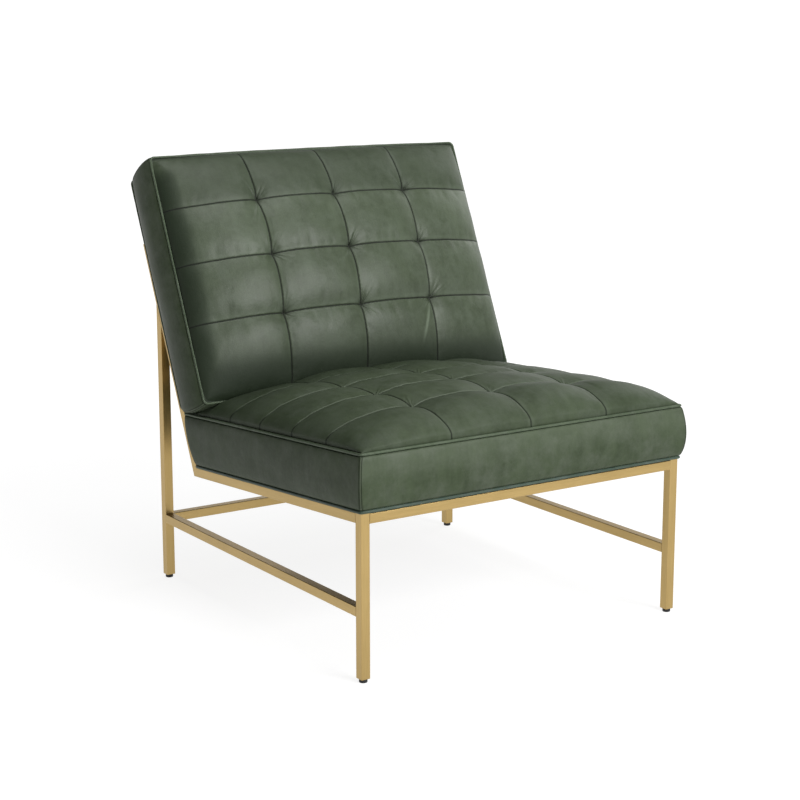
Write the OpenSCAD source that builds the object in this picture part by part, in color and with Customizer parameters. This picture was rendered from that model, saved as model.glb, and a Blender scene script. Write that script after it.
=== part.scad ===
/* [Frame] */
// Width over the outer faces of the legs
frame_w = 710; // [560:5:880]
// Height of the front rail's top above the floor
rail_h = 302; // [240:1:400]
// Side of the square tube
tube = 18; // [14:0.5:25]
// Wall of the square tube
wall = 1.5; // [1:0.1:2.5]
// Outer corner radius of the tube
tube_r = 1.2; // [0.5:0.1:2]
// Fall of the seat rails towards the back, in degrees
seat_slope = 4.1; // [0:0.1:8]
// Lean of the back posts from the vertical, in degrees
rake = 24.4; // [16:0.1:30]
// Front face to the lower rear corner, where rail and post are mitred
corner_y = 603; // [520:1:640]
// Length of the back posts along their rear face
post_len = 475; // [420:1:560]
// Lower rear corner to the top of the rear legs, along the posts
leg_join = 351.5; // [250:0.5:400]
// Height of the low stretchers' top above the floor
stretcher_h = 134.5; // [80:0.5:200]

/* [Levellers] */
// Diameter of the levelling pads
pad_d = 15; // [12:0.5:18]
// Gap between the floor and the end of a leg, feet screwed in
leg_gap = 7; // [6:0.5:10]
// Diameter of the threaded stems
stem_d = 8; // [6:0.5:10]
// Length of the stems above the end of the leg
stem_len = 18; // [14:1:30]
// Length of the threaded plugs in the legs
plug_len = 12; // [8:1:20]

/* [Seat] */
// Height of the seat's top welt above its rails
seat_t = 103; // [80:1:130]
// Rise of the seat's crown above its top welt
seat_crown = 84; // [50:1:100]
// Front of the seat in front of the legs
seat_overhang = 5.5; // [3:0.5:15]
// Distance of the first row of tufts from the front welt
seat_first_row = 118; // [90:1:140]
// Spacing of the rows of tufts on the seat
seat_pitch = 114.5; // [90:0.5:120]

/* [Back] */
// Thickness of the back from the posts to its front welt
back_t = 100; // [80:1:130]
// Rise of the back's crown in front of its welt
back_crown = 77; // [50:1:100]
// Gap between the welt at the seat's rear and the one under the back
back_gap = 2.5; // [1:0.5:10]
// Length of the back at its rear face
back_len = 472; // [380:1:560]
// Distance of the highest row of tufts from the top welt
back_first_row = 114; // [80:1:140]
// Spacing of the rows of tufts on the back
back_pitch = 117; // [90:0.5:130]

/* [Upholstery] */
// Welts of the seat beyond the frame on each side
side_overhang = 3; // [1:0.5:8]
// Welts of the back beyond the frame on each side
back_overhang = 8; // [1:0.5:12]
// Spacing of the columns of tufts
column_pitch = 172.5; // [130:0.5:185]
// Diameter of the welts
welt_d = 6; // [4:0.5:8]
// Corner radius of the welts
corner_r = 12; // [6:0.5:12]
// Swell of the boxing at half its height
boxing_swell = 9; // [4:0.5:14]
// Depth of a seam below the panels beside it, doubled where two cross
seam_depth = 8; // [4:0.5:12]
// Thickness of the quilted layer at the welt
quilt_t = 7; // [5:0.5:12]
// Thickness of the plywood of seat and back
ply = 15; // [12:1:20]
// Thickness of the black underside cloth and of the outside-back leather
cloth = 1; // [0.8:0.1:1.6]

/* [Fasteners] */
// Diameter of the screws that hold seat and back
screw_d = 6; // [5:0.5:8]
// Thickness of the welded tabs
tab_t = 3; // [2:0.5:5]
// Side of the welded tabs
tab_w = 28; // [24:1:40]
// Distance of the end tabs from the ends of seat and back
tab_inset = 90; // [60:1:120]

/* [Hidden] */
$fn = 48;
brass = [0.74, 0.62, 0.39];
steel = [0.62, 0.63, 0.65];
leather = [0.27, 0.34, 0.27];
dark_leather = [0.2, 0.25, 0.2];
foam_white = [0.9, 0.88, 0.8];
birch = [0.8, 0.68, 0.5];
black = [0.06, 0.06, 0.06];
twine = [0.85, 0.8, 0.68];
slack = 0.3;      // gap between soft pieces that lie together
fit = 0.1;        // radial running fit of the stems
far = 2000;       // reach of the solids that trim the tubes

// Frame, measured from the front face of the front legs
half_w = frame_w / 2;
frame_d = corner_y + leg_join * sin(rake);
mid_x = half_w - tube / 2;
inner_x = half_w - tube;
corner_z = rail_h - tube / cos(seat_slope) - corner_y * tan(seat_slope);
bevel = (rake + seat_slope) / 2;
seat_rail_len = corner_y / cos(seat_slope);

// Outline of the cushions: welts' centre lines and the draft of their ends
welt_r = welt_d / 2;
welt_x = half_w + side_overhang - welt_r;
back_x = half_w + back_overhang - welt_r;
seat_v0 = -seat_overhang + welt_r;
seat_draft0 = -tan(seat_slope);
seat_draft1 = tan(rake - seat_slope);
seat_v1 = (corner_y - tube / cos(rake) + (corner_z - rail_h) * -tan(rake))
  / (cos(seat_slope) + sin(seat_slope) * tan(rake)) - welt_r - slack - 0.5;
back_draft0 = -0.13;
back_draft1 = 0.13;
seat_top_h = seat_t - slack;
back_v0 = from_seat([seat_v1 + seat_draft1 * seat_top_h, seat_top_h])[0] + welt_d + back_gap;
back_v1 = back_v0 + back_len;

// Place of the model: the middle of its overall depth is y = 0
back_edge = corner_y + (back_v1 + back_draft1 * (welt_r + slack)) * sin(rake)
  - (tube + welt_r + slack) * cos(rake) + welt_r;
front_edge = -(seat_overhang + boxing_swell) * cos(seat_slope);
front_y = -(front_edge + back_edge) / 2;

// Level of the welts' centre lines and lines of tufts
low_h = welt_r + slack;
columns = [-column_pitch, 0, column_pitch];
seat_front_v = seat_v0 + seat_draft0 * seat_t;
back_lo_v = back_v0 + back_draft0 * back_t;
back_hi_v = back_v1 + back_draft1 * back_t;
lower_rows = floor((back_hi_v - back_first_row - back_lo_v) / back_pitch - 0.5);
back_rows_v = [for (i = [lower_rows:-1:0]) back_hi_v - back_first_row - i * back_pitch];

// A point of the seat's frame, [length, height], in the back's frame
function from_seat(p) = let (
  y = p[0] * cos(seat_slope) + p[1] * sin(seat_slope) - corner_y,
  z = p[1] * cos(seat_slope) - p[0] * sin(seat_slope) + rail_h - corner_z
) [y * sin(rake) + z * cos(rake), z * sin(rake) - y * cos(rake)];

// A point of the back's frame, [length, thickness from the posts' rear face], in the seat's frame
function to_seat(p) = let (
  y = corner_y + p[0] * sin(rake) - p[1] * cos(rake),
  z = corner_z + p[0] * cos(rake) + p[1] * sin(rake) - rail_h
) [y * cos(seat_slope) - z * sin(seat_slope), y * sin(seat_slope) + z * cos(seat_slope)];

// Bow of a crown: 0 at the welts, where t is 1, and 1 in the middle
function bow(t, p) = pow(max(0, 1 - pow(min(1, abs(t)), p)), 1 / p);

// Depth of the seams at distance d from the nearest of the lines
function seam_dip(d, lines, pitch) =
  pow(1 - min(1, min([for (l = lines) abs(d - l)]) / (pitch / 2)), 2.2);

// Height of a tufted surface above its welt
function tufted(t, x, v, v0, v1, p, crown, rows, pitch) = let (
  lift = bow(t, 2.2) * bow((2 * v - v0 - v1) / (v1 - v0), p),
  dips = seam_dip(x, columns, column_pitch) + seam_dip(v, rows, pitch)
) lift * crown - dips * seam_depth * min(1, 2.5 * lift);

function back_rise(x, v) =
  tufted(x / back_x, x, v, back_lo_v, back_hi_v, 2, back_crown, back_rows_v, back_pitch);

// The seat's crown stops where the lower edge of the back begins
nip = 9;          // clearance between the seat's crown and the back
lip = 36;         // height of the strip of the back that the crown leans on
shelf = to_seat([back_lo_v - (boxing_swell + welt_r) / 2 - nip, tube + back_t]);
seat_rows = [for (v = seat_front_v + seat_first_row; v < shelf[0] - seat_pitch / 2; v = v + seat_pitch) v];
last_row = seat_rows[len(seat_rows) - 1];
function lean(x) = to_seat([back_lo_v + lip, tube + back_t + back_rise(x, back_lo_v + lip) + nip]);
function rear_limit(x, v) = let (top = lean(x))
  v < top[0] ? top[1] + 3 * (top[0] - v)
  : v < shelf[0] ? top[1] + (shelf[1] - top[1]) * (v - top[0]) / (shelf[0] - top[0])
  : shelf[1] - (v - shelf[0]) * (seat_draft0 * -1 + sin(rake) * 0.75);

seat_rear_v = seat_v1 + seat_draft1 * seat_t;
function seat_rise(x, v) = min(
  tufted(x / welt_x, x, v, seat_front_v, seat_rear_v, 2.4, seat_crown, seat_rows, seat_pitch),
  max(1, rear_limit(x, v) - seat_t)
);

// Grid lines across a panelled surface, closer together beside each seam and at the welts,
// where the first one clears the tucked corners of the cover
rim_step = 11;
function cuts(lines) = let (last = len(lines) - 2) [
  for (i = [0:last]) let (d = lines[i + 1] - lines[i])
    for (f = concat(
      i == 0 ? [0, rim_step, 2.2 * rim_step] : [0, 0.1 * d],
      [0.35 * d, 0.65 * d],
      i == last ? [d - 2.2 * rim_step, d - rim_step, d] : [0.9 * d]
    )) lines[i] + f
];

// Places of the screws and their tabs, one side, along the seat and along the back
seat_spots = [tube + tab_inset, corner_y / 2, seat_rail_len - tube - tab_inset];
back_spots = [back_v0 + tab_inset / 2, post_len - tube - tab_inset / 2];
screw_x = inner_x - tab_w / 2;

module seat_frame() translate([0, front_y, rail_h]) rotate([-seat_slope, 0, 0]) children();

module back_frame()
  translate([0, front_y + corner_y, corner_z]) rotate([90 - rake, 0, 0]) children();

// The back's own frame with height 0 on the front of the posts
module back_face() back_frame() translate([0, 0, tube]) children();

module both_sides() for (side = [-1, 1]) scale([side, 1, 1]) children();

module square_section(size, r) {
  square([size, size - 2 * r], center = true);
  square([size - 2 * r, size], center = true);
  for (x = [-1, 1], y = [-1, 1]) translate([x, y] * (size / 2 - r)) circle(r);
}

// A length of tube along +Z, open at its foot, its top closed by an end of the given thickness
module square_tube(length, end = 0) difference() {
  linear_extrude(length) square_section(tube, tube_r);
  translate([0, 0, -1]) linear_extrude(end > 0 ? length - end + 1 : length + 2)
    square(tube - 2 * wall, center = true);
}

// Solid of a side view, [y, z] from the front face of the legs, through the whole width
module side_view(points)
  translate([-far / 2, front_y, 0]) rotate([90, 0, 90]) linear_extrude(far) polygon(points);

// Tube in a side of the frame, from a point at an angle from the vertical
module side_tube(side, from, lean_angle, length, end = 0)
  translate([side * mid_x, front_y + from[0], from[1]]) rotate([-lean_angle, 0, 0])
    square_tube(length, end);

// Point along the mitre of the lower rear corner
function mitre(d) = [corner_y, corner_z] + d * [-sin(90 - seat_slope - (90 - seat_slope + rake) / 2
  + seat_slope), cos(90 - seat_slope - (90 - seat_slope + rake) / 2 + seat_slope)];

module front_leg(side) color(brass) difference() {
  translate([side * mid_x, front_y + tube / 2, leg_gap]) linear_extrude(rail_h - leg_gap + tube)
    square_section(tube, tube_r);
  translate([side * mid_x, front_y + tube / 2, leg_gap - 1])
    linear_extrude(rail_h - leg_gap - 2 * tube + 1) square(tube - 2 * wall, center = true);
  seat_frame() translate([-far / 2, -far / 2, 0]) cube(far);
}

module rear_leg(side) color(brass) intersection() {
  side_tube(side, [frame_d - tube / 2, leg_gap], 0, far);
  side_view([
    [corner_y, corner_z], [corner_y, 0], [far, 0], [far, corner_z + (far - corner_y) / tan(rake)]
  ]);
}

module seat_rail(side) color(brass) intersection() {
  side_tube(side, [0, rail_h - tube / 2 / cos(seat_slope)] - 20 * [cos(seat_slope), -sin(seat_slope)],
    90 + seat_slope, seat_rail_len + 60);
  side_view([[tube, 0], [tube, rail_h], mitre(far), mitre(-3 * tube), [corner_y - 3 * tube, 0]]);
}

module back_post(side) color(brass) intersection() {
  side_tube(side, [corner_y, corner_z] + [-tube / 2 * cos(rake) - 40 * sin(rake),
    tube / 2 * sin(rake) - 40 * cos(rake)], rake, post_len + 40, wall);
  side_view([mitre(-3 * tube), mitre(5 * tube), [corner_y, far], [far, far], [far, 0]]);
}

// Cross tube between the sides, centred on the origin, along X
module cross_tube() translate([-inner_x, 0, 0]) rotate([90, 0, 90]) square_tube(2 * inner_x);

module seat_rail_front() color(brass)
  translate([0, front_y + tube / 2, rail_h - tube * tan(seat_slope) - tube / 2]) cross_tube();

module seat_rail_rear() color(brass)
  seat_frame() translate([0, seat_rail_len - 2 * tube, -tube / 2]) cross_tube();

module back_rail_top() color(brass)
  back_frame() translate([0, post_len - tube / 2, tube / 2]) cross_tube();

module side_stretcher(side) color(brass)
  side_tube(side, [tube, stretcher_h - tube / 2], 90, frame_d - 2 * tube);

module stretcher_rear() color(brass)
  translate([0, front_y + frame_d - tube / 2, stretcher_h - tube / 2]) cross_tube();

// Tab in the plane z = 0, with its screw hole at the origin
module tab() difference() {
  translate([-tab_w / 2, -tab_w / 2, -tab_t]) cube([tab_w, tab_w, tab_t]);
  translate([0, 0, -tab_t - 1]) cylinder(d = screw_d + 1, h = tab_t + 2);
}

module seat_tabs() color(brass) seat_frame()
  both_sides() for (v = seat_spots) translate([screw_x, v, 0]) tab();

module back_tabs() color(brass) back_face()
  both_sides() for (v = back_spots) translate([screw_x, v, 0]) tab();

module leg_places() for (side = [-1, 1], y = [tube / 2, frame_d - tube / 2])
  translate([side * mid_x, front_y + y, 0]) children();

module leg_plugs() color(black) leg_places() difference() {
  translate([0, 0, leg_gap]) linear_extrude(plug_len) square(tube - 2 * wall - fit, center = true);
  translate([0, 0, leg_gap - 1]) cylinder(d = stem_d + 2 * fit, h = plug_len + 2);
}

// Collar at the foot of a stem, which turns in the pad
collar_r = stem_d / 2 + 1.6;
collar_h = 1.8;
collar_z = 2.2;

module stem() color(steel) {
  translate([0, 0, collar_z]) cylinder(r = collar_r, h = collar_h);
  translate([0, 0, collar_z]) cylinder(d = stem_d, h = leg_gap + stem_len - collar_z - 1);
  translate([0, 0, leg_gap + stem_len - 1]) cylinder(d1 = stem_d, d2 = stem_d - 2, h = 1);
}

module pad() color(black) rotate_extrude() polygon([
  [0, 0], [pad_d / 2 - 0.8, 0], [pad_d / 2, 0.8], [pad_d / 2, leg_gap - 2],
  [pad_d / 2 - 0.7, leg_gap - slack], [stem_d / 2 + fit, leg_gap - slack],
  [stem_d / 2 + fit, collar_z + collar_h + fit], [collar_r + fit, collar_z + collar_h + fit],
  [collar_r + fit, collar_z - fit], [0, collar_z - fit]
]);

module foot_place(side, y) translate([side * mid_x, front_y + y, 0]) children();
rear_foot = frame_d - tube / 2;
front_foot = tube / 2;

function tenth(v) = round(v * 10) / 10;

// Welt round the outline at height h, with its ends drafted
module welt(x, h, v0, v1, draft0, draft1) {
  lo = tenth(v0 + draft0 * h);
  hi = tenth(v1 + draft1 * h);
  turn = corner_r - welt_r;
  translate([0, (lo + hi) / 2, h]) for (q = [0:3]) rotate([0, 0, 90 * q]) {
    reach = q % 2 == 0 ? [x, (hi - lo) / 2] : [(hi - lo) / 2, x];
    translate([reach[0] - turn, reach[1] - turn, 0]) rotate_extrude(angle = 90)
      translate([turn, 0]) circle(welt_r);
    translate([reach[0], reach[1] - turn, 0]) rotate([90, 0, 0])
      linear_extrude(2 * (reach[1] - turn)) circle(welt_r);
  }
}

// Points of a rounded outline of half width x from lo to hi, with n steps along each side
function outline(x, lo, hi, r, n) = let (
  corners = [[x - r, hi - r, 0], [r - x, hi - r, 90], [r - x, lo + r, 180], [x - r, lo + r, 270]]
) [for (i = [0:3]) let (c = corners[i], d = corners[(i + 1) % 4], turn = [cos(c[2] + 90), sin(c[2] + 90)])
    each concat(
      [for (t = [0:30:90]) [c[0] + r * cos(c[2] + t), c[1] + r * sin(c[2] + t)]],
      [for (k = [1:n - 1]) [
        c[0] + (d[0] - c[0]) * k / n + r * turn[0], c[1] + (d[1] - c[1]) * k / n + r * turn[1]
      ]]
    )
];

// Boxing: a band that swells between the welts, round a core with straight sides; swell0 and
// swell1 are the shares of the swell at its two ends
module boxing(x, t, v0, v1, draft0, draft1, swell0, swell1) {
  low = 2 * welt_r + 2 * slack;
  high = t - welt_r - 2 * slack;
  steps = 6;
  along = 6;
  levels = [for (i = [0:steps]) low + (high - low) * (1 - cos(180 * i / steps)) / 2];
  outer = [for (h = levels)
    let (s = (boxing_swell + welt_r) * sin(180 * (h - low) / (high - low)))
    [for (p = outline(x + s, v0 + draft0 * h - swell0 * s,
      v1 + draft1 * h + swell1 * s, corner_r, along)) [p[0], p[1], h]]];
  inner = [for (h = [high, low]) [for (p = outline(x - 5, v0 + draft0 * h + 5,
    v1 + draft1 * h - 5, 0.5, along)) [p[0], p[1], h]]];
  rings = concat(outer, inner);
  n = len(rings[0]);
  m = len(rings);
  polyhedron([for (r = rings) each r], [
    for (i = [0:m - 1], k = [0:n - 1]) let (
      a = i * n + k, b = i * n + (k + 1) % n, c = (i + 1) % m * n + k, d = (i + 1) % m * n + (k + 1) % n
    ) each [[a, c, b], [b, c, d]]
  ], convexity = 4);
}

// Quilted cover: the tufted leather and its wadding over a flat underside
module quilt(xs, vs, h, draft0, draft1) {
  n = len(xs);
  m = len(vs);
  pull = 1.8;
  edge = welt_r + slack;
  hem = 4.2;
  function ends(i, last) = i == 0 ? 1 : i == last ? -1 : 0;
  function spot(i, j) = let (ex = ends(i, n - 1), ev = ends(j, m - 1), c = ex != 0 && ev != 0 ? pull : 0)
    [xs[i] + ex * (edge + c), vs[j] + ev * (edge + c)];
  top = [for (j = [0:m - 1], i = [0:n - 1]) let (p = spot(i, j)) [p[0], p[1], $height[j * n + i] + h]];
  rim = concat([for (i = [0:n - 2]) [i, 0]], [for (j = [0:m - 2]) [n - 1, j]],
    [for (i = [n - 1:-1:1]) [i, m - 1]], [for (j = [m - 1:-1:1]) [0, j]]);
  under = [for (r = rim) let (p = spot(r[0], r[1]), e = ends(r[1], m - 1))
    [p[0] + hem * ends(r[0], n - 1),
      p[1] + hem * e - quilt_t * (e == 1 ? draft0 : e == -1 ? draft1 : 0), h - quilt_t]];
  centre = [0, (vs[0] + vs[m - 1]) / 2, h - quilt_t];
  k = len(rim);
  polyhedron(concat(top, under, [centre]), concat(
    [for (j = [0:m - 2], i = [0:n - 2]) let (a = j * n + i)
      each [[a, a + n, a + 1], [a + 1, a + n, a + n + 1]]],
    [for (r = [0:k - 1]) let (s = (r + 1) % k, a = rim[r][1] * n + rim[r][0],
      b = rim[s][1] * n + rim[s][0], c = n * m + r, d = n * m + s)
      each [[a, b, c], [b, d, c], [c, d, n * m + k]]]
  ), convexity = 6);
}

seat_xs = cuts([-welt_x, each columns, welt_x]);
back_xs = cuts([-back_x, each columns, back_x]);
seat_vs = concat(
  [for (v = cuts([seat_front_v, each seat_rows, shelf[0] + 60])) if (v <= last_row) v],
  [for (f = [0.1, 0.35, 0.62, 0.82]) last_row + (shelf[0] - last_row) * f],
  [shelf[0] - 7, shelf[0], seat_rear_v - (seat_rear_v - shelf[0]) * 0.5, seat_rear_v - 1.3 * rim_step,
    seat_rear_v]
);
back_vs = cuts([back_lo_v, each back_rows_v, back_hi_v]);

module seat_top_cover() color(leather) seat_frame() {
  $height = [for (v = seat_vs, x = seat_xs) seat_rise(x, v)];
  quilt(seat_xs, seat_vs, seat_t, seat_draft0, seat_draft1);
}

module back_front_cover() color(leather) back_face() {
  $height = [for (v = back_vs, x = back_xs) back_rise(x, v)];
  quilt(back_xs, back_vs, back_t, back_draft0, back_draft1);
}

module seat_boxing() color(dark_leather) seat_frame()
  boxing(welt_x, seat_t, seat_v0, seat_v1, seat_draft0, seat_draft1, 1, 0);

module back_boxing() color(dark_leather) back_face()
  boxing(back_x, back_t, back_v0, back_v1, back_draft0, back_draft1, 0.5, 1);

// Core between two heights, as wide as the boxing's inside
module core(x, h0, h1, v0, v1, draft0, draft1) {
  half = x - 5 - slack;
  rotate([90, 0, 90]) translate([0, 0, -half]) linear_extrude(2 * half) polygon([
    for (e = [[h0, v0, draft0, 1], [h0, v1, draft1, -1], [h1, v1, draft1, -1], [h1, v0, draft0, 1]])
      [e[1] + e[2] * e[0] + e[3] * (5 + slack), e[0]]
  ]);
}

tie_d = 2;
washer_d = 20;
washer_t = 2;
nut_d = screw_d + 2;
flange_d = 3 * screw_d;
flange_t = 1.2;

module tuft_points(rows) for (x = columns, v = rows) translate([x, v, 0]) children();

module screw_points(spots) both_sides() for (v = spots) translate([screw_x, v, 0]) children();

// Plywood board with counterbored tie holes and holes for the tee nuts
module board(x, v0, v1, draft0, draft1, rows, spots) difference() {
  core(x, cloth, cloth + ply, v0, v1, draft0, draft1);
  tuft_points(rows) {
    cylinder(d = tie_d + 3, h = 3 * ply);
    cylinder(d = washer_d + 2, h = cloth + washer_t + slack);
  }
  screw_points(spots) cylinder(d = nut_d + 0.2, h = 3 * ply);
}

module foam(x, t, v0, v1, draft0, draft1, rows, spots) difference() {
  core(x, cloth + ply, t - quilt_t, v0, v1, draft0, draft1);
  tuft_points(rows) cylinder(d = tie_d + 2, h = 2 * t);
  screw_points(spots) cylinder(d = flange_d + 2, h = cloth + ply + flange_t + 2);
}

// Cord from a washer under the board to the underside of the quilted cover
module tie(t) translate([0, 0, cloth]) {
  cylinder(d = washer_d, h = washer_t);
  cylinder(d = tie_d, h = t - quilt_t - cloth);
}

module tee_nut() translate([0, 0, cloth + ply]) difference() {
  union() {
    cylinder(d = flange_d, h = flange_t);
    translate([0, 0, 4 - ply]) cylinder(d = nut_d, h = ply - 4);
  }
  translate([0, 0, -ply]) cylinder(d = screw_d + 2 * fit, h = 2 * ply);
}

// Screw with a domed hexagon-socket head under its tab
module screw() translate([0, 0, -tab_t]) {
  difference() {
    intersection() {
      translate([0, 0, -screw_d / 2]) cylinder(d = 2 * screw_d, h = screw_d / 2);
      translate([0, 0, screw_d]) sphere(r = 1.5 * screw_d);
    }
    translate([0, 0, -screw_d]) cylinder(d = screw_d * 0.75, h = screw_d * 0.85, $fn = 6);
  }
  cylinder(d = screw_d, h = tab_t + cloth + ply - 2);
}

// Sheet under a board, with a hole for each screw
module sheet(x, v0, v1, draft0, draft1, spots) difference() {
  core(x, 0, cloth, v0, v1, draft0, draft1);
  screw_points(spots) translate([0, 0, -1]) cylinder(d = screw_d + 2, h = cloth + 2);
}

module seat_deck() color(birch) seat_frame()
  board(welt_x, seat_v0, seat_v1, seat_draft0, seat_draft1, seat_rows, seat_spots);
module seat_foam() color(foam_white) seat_frame()
  foam(welt_x, seat_t, seat_v0, seat_v1, seat_draft0, seat_draft1, seat_rows, seat_spots);
module seat_dust_cover() color(black) seat_frame()
  sheet(welt_x, seat_v0, seat_v1, seat_draft0, seat_draft1, seat_spots);
module seat_top_welt() color(leather) seat_frame()
  welt(welt_x, seat_top_h, seat_v0, seat_v1, seat_draft0, seat_draft1);
module seat_bottom_welt() color(leather) seat_frame()
  welt(welt_x, low_h, seat_v0, seat_v1, seat_draft0, seat_draft1);
module seat_tuft_ties() color(twine) seat_frame() tuft_points(seat_rows) tie(seat_t);
module seat_screws() color(steel) seat_frame() screw_points(seat_spots) screw();
module seat_tee_nuts() color(steel) seat_frame() screw_points(seat_spots) tee_nut();

module back_panel() color(birch) back_face()
  board(back_x, back_v0, back_v1, back_draft0, back_draft1, back_rows_v, back_spots);
module back_foam() color(foam_white) back_face()
  foam(back_x, back_t, back_v0, back_v1, back_draft0, back_draft1, back_rows_v, back_spots);
module back_outside_cover() color(dark_leather) back_face()
  sheet(back_x, back_v0, back_v1, back_draft0, back_draft1, back_spots);
module back_front_welt() color(leather) back_face()
  welt(back_x, back_t - slack, back_v0, back_v1, back_draft0, back_draft1);
module back_rear_welt() color(leather) back_face()
  welt(back_x, low_h, back_v0, back_v1, back_draft0, back_draft1);
module back_tuft_ties() color(twine) back_face() tuft_points(back_rows_v) tie(back_t);
module back_screws() color(steel) back_face() screw_points(back_spots) screw();
module back_tee_nuts() color(steel) back_face() screw_points(back_spots) tee_nut();

front_leg(-1);  // front_leg_left
front_leg(1);  // front_leg_right
rear_leg(-1);  // rear_leg_left
rear_leg(1);  // rear_leg_right
seat_rail(-1);  // seat_rail_left
seat_rail(1);  // seat_rail_right
seat_rail_front();
seat_rail_rear();
back_post(-1);  // back_post_left
back_post(1);  // back_post_right
back_rail_top();
side_stretcher(-1);  // stretcher_left
side_stretcher(1);  // stretcher_right
stretcher_rear();
seat_tabs();
back_tabs();
leg_plugs();
foot_place(-1, front_foot) stem();  // stem_front_left
foot_place(1, front_foot) stem();  // stem_front_right
foot_place(-1, rear_foot) stem();  // stem_rear_left
foot_place(1, rear_foot) stem();  // stem_rear_right
foot_place(-1, front_foot) pad();  // pad_front_left
foot_place(1, front_foot) pad();  // pad_front_right
foot_place(-1, rear_foot) pad();  // pad_rear_left
foot_place(1, rear_foot) pad();  // pad_rear_right
seat_deck();
seat_foam();
seat_top_cover();
seat_boxing();
seat_top_welt();
seat_bottom_welt();
seat_dust_cover();
seat_tuft_ties();
seat_screws();
seat_tee_nuts();
back_panel();
back_foam();
back_front_cover();
back_boxing();
back_front_welt();
back_rear_welt();
back_outside_cover();
back_tuft_ties();
back_screws();
back_tee_nuts();
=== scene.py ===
from math import cos, exp, hypot, pi, radians, sin

import bpy
import numpy as np
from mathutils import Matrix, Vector


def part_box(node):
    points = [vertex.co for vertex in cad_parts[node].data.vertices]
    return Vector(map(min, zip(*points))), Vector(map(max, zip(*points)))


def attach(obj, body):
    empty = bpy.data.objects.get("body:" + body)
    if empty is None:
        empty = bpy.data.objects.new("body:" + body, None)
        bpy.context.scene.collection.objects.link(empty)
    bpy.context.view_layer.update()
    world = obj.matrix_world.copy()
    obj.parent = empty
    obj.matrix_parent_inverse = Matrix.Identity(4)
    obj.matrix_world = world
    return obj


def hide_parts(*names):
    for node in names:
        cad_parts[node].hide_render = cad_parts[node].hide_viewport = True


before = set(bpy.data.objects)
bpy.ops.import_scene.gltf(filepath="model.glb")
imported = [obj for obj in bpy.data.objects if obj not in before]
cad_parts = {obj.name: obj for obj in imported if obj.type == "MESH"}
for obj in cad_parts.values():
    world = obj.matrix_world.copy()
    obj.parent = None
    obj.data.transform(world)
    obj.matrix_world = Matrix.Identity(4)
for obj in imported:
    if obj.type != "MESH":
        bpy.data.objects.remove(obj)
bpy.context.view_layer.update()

# Viewpoint
# The photograph was taken with a long lens from a little over a metre's height, in front of
# the chair and to its left. front_face is where the front legs' front faces stand in y.
scene = bpy.context.scene


def placed(name, data):
    """A new object in the scene, holding a mesh, a lamp or a camera."""
    made = bpy.data.objects.new(name, data)
    scene.collection.objects.link(made)
    return made


front_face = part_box("front_leg_left")[0].y
heading, downward = 0.5901, 0.2091
camera = placed("camera", bpy.data.cameras.new("camera"))
camera.data.sensor_width = 36
camera.data.lens = 84.62
camera.location = (-1.9996, front_face - 2.5739, 1.1469)
camera.rotation_euler = (pi / 2 - downward, 0.0, -heading)
scene.camera = camera

# Studio
# A white sweep under a room that is white at the horizon and dims upwards and to the left; a
# wide soft light, in front, above and to the right, leaves the chair's left side in shade.
scene.view_settings.view_transform = "Standard"


def softbox(name, place, aim, width, height, power):
    """A soft rectangular light at a place, facing a point."""
    lamp = placed(name, bpy.data.lights.new(name, "AREA"))
    lamp.data.shape = "RECTANGLE"
    lamp.data.size, lamp.data.size_y, lamp.data.energy = width, height, power
    lamp.location = place
    lamp.rotation_euler = (Vector(aim) - Vector(place)).to_track_quat("-Z", "Y").to_euler()


softbox("front_light", (0.55, -3.1, 1.95), (0.0, 0.0, 0.5), 1.9, 1.0, 122)
softbox("top_light", (0.0, -0.5, 3.6), (0.0, -0.1, 0.3), 2.0, 2.0, 62)
softbox("right_light", (3.0, 0.9, 2.0), (0.0, 0.0, 0.5), 1.6, 1.6, 22)

reach = 60
floor_mesh = bpy.data.meshes.new("floor")
floor_corners = [(x * reach, y * reach, 0) for x, y in ((-1, -1), (1, -1), (1, 1), (-1, 1))]
floor_mesh.from_pydata(floor_corners, [], [(0, 1, 2, 3)])
floor = placed("floor", floor_mesh)
white = bpy.data.materials.new("white_sweep")
white.use_nodes = True
sweep = white.node_tree.nodes["Principled BSDF"].inputs
sweep["Base Color"].default_value = (0.22, 0.22, 0.22, 1)
sweep["Roughness"].default_value = 0.9
sweep["Specular IOR Level"].default_value = 0.0
sweep["Emission Strength"].default_value = 1.0
floor_mesh.materials.append(white)


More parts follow.
